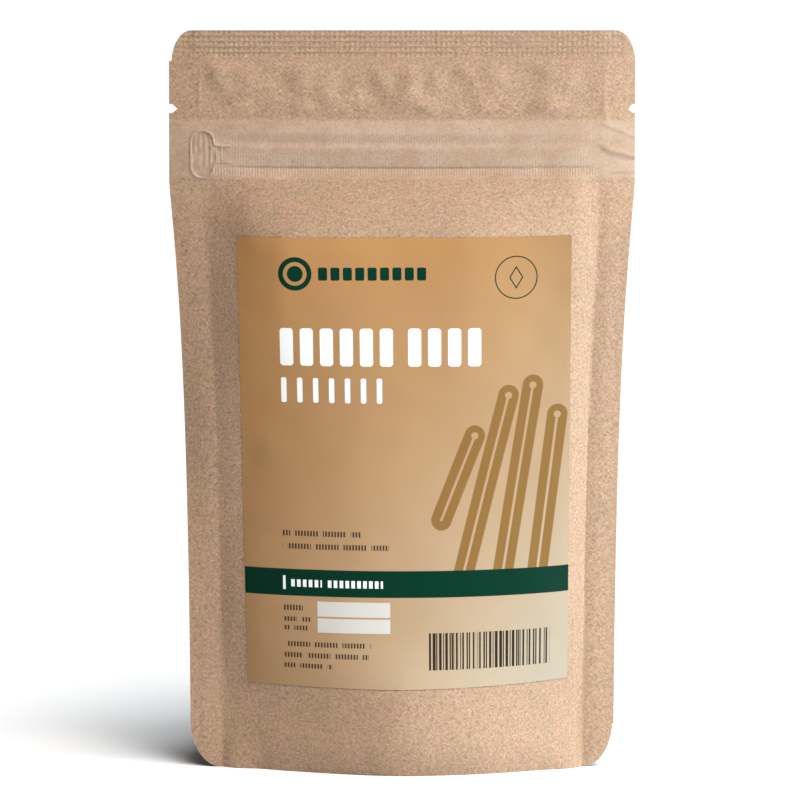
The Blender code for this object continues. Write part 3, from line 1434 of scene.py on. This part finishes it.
@dataclass
class FoldedBottom:
    """The web folded up between front and back: sealed skirts with an arch between them."""

    form: PouchForm
    paper: float = 0.00022
    skirt_middle: float = 0.0040
    skirt_rise: float = 0.0120
    arch_rise: float = 0.0060
    lift: float = 0.0004
    columns: int = 120
    skirt_rows: int = 10
    arch_rows: int = 44

    def surface(self) -> Array:
        """Outer points seen from below.

        At each x the web goes up the inside of the back skirt, over an arch that is half an
        ellipse from side to side, and down the inside of the front skirt.

        Returns:
            The points, row by row from back to front.
        """
        reach = 0.972 * float(self.form.inner_half(np.array(0.01)))
        x = reach * np.sin(np.linspace(-0.5 * math.pi, 0.5 * math.pi, self.columns + 1))[None, :]
        share = x / float(self.form.inner_half(np.array(0.0)))
        seal = self.skirt_middle + self.skirt_rise * share * share
        climb = np.linspace(0.0, 1.0, self.skirt_rows + 1)[:-1, None]
        skirt_z = self.lift + (seal - self.lift) * climb
        back, front = self._inside(Side.BACK, x, seal), self._inside(Side.FRONT, x, seal)
        half = 0.5 * (back + front)
        turn = np.linspace(0.0, math.pi, self.arch_rows + 1)[:, None]
        rise = self.arch_rise * half / (self.form.belly + self.form.foot_spread)
        arch_y = 0.5 * (back - front) + half * np.cos(turn)
        arch_z = seal + rise * np.sin(turn)
        back_skirt = self._inside(Side.BACK, x, skirt_z)
        front_skirt = self._inside(Side.FRONT, x, skirt_z)
        y = np.concatenate((back_skirt, arch_y, -front_skirt[::-1]), axis=0)
        z = np.concatenate((skirt_z, arch_z, skirt_z[::-1]), axis=0)
        return np.stack((np.broadcast_to(x, y.shape), self.form.seam_y + y, z), axis=-1)

    def _inside(self, side: Side, x: Array, z: Array) -> Array:
        """Distance from the seam plane to just inside one side's paper.

        Args:
            side: Side whose paper it follows.
            x: Places across.
            z: Heights.

        Returns:
            The distances.
        """
        x, z = np.broadcast_arrays(x, z)
        outer = self.form.skin(x, z) + PaperRelief(side, self.form).depth(x, z)
        return np.maximum(outer - 2.0 * self.paper - 0.00008, 0.00004)

    def build(self, finish: bpy.types.Material) -> bpy.types.Object:
        """Makes the folded bottom and dresses it.

        Args:
            finish: The paper's material.

        Returns:
            The bottom's object.
        """
        made = Sheet("folded_bottom", self.surface(), self.paper).build()
        made.data.materials.append(finish)
        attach(made, "root")
        return made


@dataclass
class PastedLabel:
    """The printed label, glued to the front web."""

    form: PouchForm
    top: float
    foot: float
    left: tuple[float, float] = (-0.0399, -0.0424)
    right: tuple[float, float] = (0.0426, 0.0436)
    dip: float = 0.0006
    lift: tuple[float, float] = (-0.0004, 0.0006)
    glue: float = 0.00006
    thickness: float = 0.00014
    finish: PrintedLabel = field(default_factory=PrintedLabel)
    rows: int = 150
    columns: int = 130

    def surface(self) -> tuple[Array, Array]:
        """Outer points, and the print's place at each in millimetres.

        Level lines from foot to top, bowed down in the middle near the foot and lifted a little at
        its right end. X lies between the left and right edges, which lean in with the swell, and y
        follows the front web.

        Returns:
            The points, and two numbers of the print map for each.
        """
        up = np.linspace(0.0, 1.0, self.rows + 1)[:, None]
        across = np.linspace(0.0, 1.0, self.columns + 1)[None, :]
        left = self.left[0] + (self.left[1] - self.left[0]) * up
        right = self.right[0] + (self.right[1] - self.right[0]) * up
        x = left + (right - left) * across
        level = self.foot + (self.top - self.foot) * up
        z = level - self.dip * (1.0 - up) ** 2 * (1.0 - (x / self.right[0]) ** 2)
        z = z + (1.0 - up) * (self.lift[1] * (1.0 - up) * across**2 + self.lift[0] * (1.0 - across) ** 2)
        relief = PaperRelief(Side.FRONT, self.form).depth(x, z)
        bare = np.stack((x, self.form.seam(x, z) - self.form.skin(x, z) - relief, z), axis=-1)
        outer = bare + (self.glue + self.thickness) * grid_normals(bare)
        wide, tall = self.finish.width * across, self.finish.height * up
        return outer, np.stack(np.broadcast_arrays(wide, tall), axis=-1)

    def build(self) -> bpy.types.Object:
        """Makes the label, dresses it and lets it stand for the plain one.

        Returns:
            The label's object.
        """
        outer, print_map = self.surface()
        made = Sheet("printed_label", outer, self.thickness, print_map).build()
        made.data.materials.append(self.finish.material())
        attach(made, "root")
        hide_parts("label")
        return made


# ---------------------------------------------------------------- studio


@dataclass(frozen=True)
class Softbox:
    """A square lamp close to the pouch: where it is, what it faces, its side, power and tint."""

    name: str
    place: tuple[float, float, float]
    faces: tuple[float, float, float]
    side: float
    power: float
    tint: Colour

    def build(self) -> None:
        """Puts the lamp in the scene, out of the camera's sight."""
        lamp = bpy.data.lights.new(self.name, "AREA")
        lamp.energy, lamp.size, lamp.color = self.power, self.side, self.tint
        made = bpy.data.objects.new(self.name, lamp)
        made.location = self.place
        made.rotation_euler = (Vector(self.place) - Vector(self.faces)).to_track_quat("Z", "Y").to_euler()
        made.visible_camera = False
        bpy.context.scene.collection.objects.link(made)


@dataclass(frozen=True)
class Daylight:
    """Broad distant light: turn to the right, height and width in degrees, strength and tint."""

    name: str
    turn: float
    height: float
    width: float
    strength: float
    tint: Colour

    def build(self) -> None:
        """Puts the lamp in the scene, aimed at the pouch."""
        lamp = bpy.data.lights.new(self.name, "SUN")
        lamp.energy, lamp.angle, lamp.color = self.strength, math.radians(self.width), self.tint
        made = bpy.data.objects.new(self.name, lamp)
        turn, height = math.radians(self.turn), math.radians(self.height)
        towards = Vector(
            (math.sin(turn) * math.cos(height), -math.cos(turn) * math.cos(height), math.sin(height))
        )
        made.location = towards * 2.0
        made.rotation_euler = towards.to_track_quat("Z", "Y").to_euler()
        bpy.context.scene.collection.objects.link(made)


@dataclass
class Studio:
    """White floor, broad light from the front right, softboxes at the right and the camera."""

    floor_reach: float = 12.0
    sky: float = 0.06
    lights: tuple[Union[Softbox, Daylight], ...] = (
        Daylight("front", 12.0, 43.0, 30.0, 1.53, (1.0, 0.955, 0.920)),
        Daylight("front_right", 26.0, 52.0, 32.0, 1.70, (1.0, 0.955, 0.920)),
        Daylight("top", 50.0, 62.0, 32.0, 2.10, (1.0, 0.980, 0.965)),
        Softbox("right", (0.34, -0.10, 0.12), (0.0, 0.0, 0.09), 0.20, 1.06, (0.86, 1.06, 1.20)),
        Softbox("low_right", (0.24, -0.16, 0.05), (0.02, 0.0, 0.07), 0.12, 0.40, (0.86, 1.06, 1.20)),
    )
    camera_away: float = 2.2
    camera_height: float = 0.353
    camera_tilt: float = 6.7
    lens: float = 385.7
    shift: tuple[float, float] = (-0.0025, 0.00625)

    def build(self) -> None:
        """Puts the floor, the lights and the camera in place."""
        self._floor()
        self._sky()
        for light in self.lights:
            light.build()
        self._camera()
        bpy.context.scene.view_settings.view_transform = "Standard"

    def _floor(self) -> None:
        """A wide flat square at the height that the pouch stands on."""
        side = np.linspace(-self.floor_reach, self.floor_reach, 9)
        x, y = np.meshgrid(side, side)
        points = np.stack((x, y, np.zeros_like(x)), axis=-1)
        floor = shown(mesh_from("studio_floor", points.reshape(-1, 3), grid_faces(9, 9)))
        floor.data.materials.append(StudioFloor().material())

    def _sky(self) -> None:
        """Faint even light; the camera itself sees the sky at full white."""
        world = bpy.data.worlds.new("studio")
        world.use_nodes = True
        tree = world.node_tree
        background = tree.nodes["Background"]
        background.inputs["Color"].default_value = (1.0, 0.970, 0.945, 1.0)
        path = tree.nodes.new("ShaderNodeLightPath")
        seen = tree.nodes.new("ShaderNodeMapRange")
        seen.inputs["To Min"].default_value = self.sky
        seen.inputs["To Max"].default_value = 1.15
        tree.links.new(path.outputs["Is Camera Ray"], seen.inputs["Value"])
        tree.links.new(seen.outputs[0], background.inputs["Strength"])
        bpy.context.scene.world = world

    def _camera(self) -> None:
        """A long lens from slightly above, square on to the front."""
        data = bpy.data.cameras.new("camera")
        data.lens = self.lens
        data.clip_start, data.clip_end = 0.05, 60.0
        data.shift_x, data.shift_y = self.shift
        made = bpy.data.objects.new("camera", data)
        made.location = (0.0, -self.camera_away, self.camera_height)
        made.rotation_euler = (math.radians(90.0 - self.camera_tilt), 0.0, 0.0)
        bpy.context.scene.collection.objects.link(made)
        bpy.context.scene.camera = made


# ---------------------------------------------------------------- the whole


def main() -> None:
    """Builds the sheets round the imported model, then the studio."""
    logging.basicConfig(level=logging.INFO, format="%(message)s")
    low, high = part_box("pouch")
    form = PouchForm(
        seam_y=0.5 * (low[1] + high[1]), height=high[2] - low[2], top_width=high[0] - low[0]
    )
    label_low, label_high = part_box("label")
    paper = KraftPaper().material()
    label = PastedLabel(form, top=label_high[2], foot=label_low[2] + 0.0006)
    made = [
        PaperWeb(Side.FRONT, form).build(paper),
        PaperWeb(Side.BACK, form).build(paper),
        FoldedBottom(form).build(paper),
        label.build(),
    ]
    for piece in made:
        LOG.info("%s: %d faces", piece.name, len(piece.data.polygons))
    Studio().build()


if __name__ == "__main__":
    main()
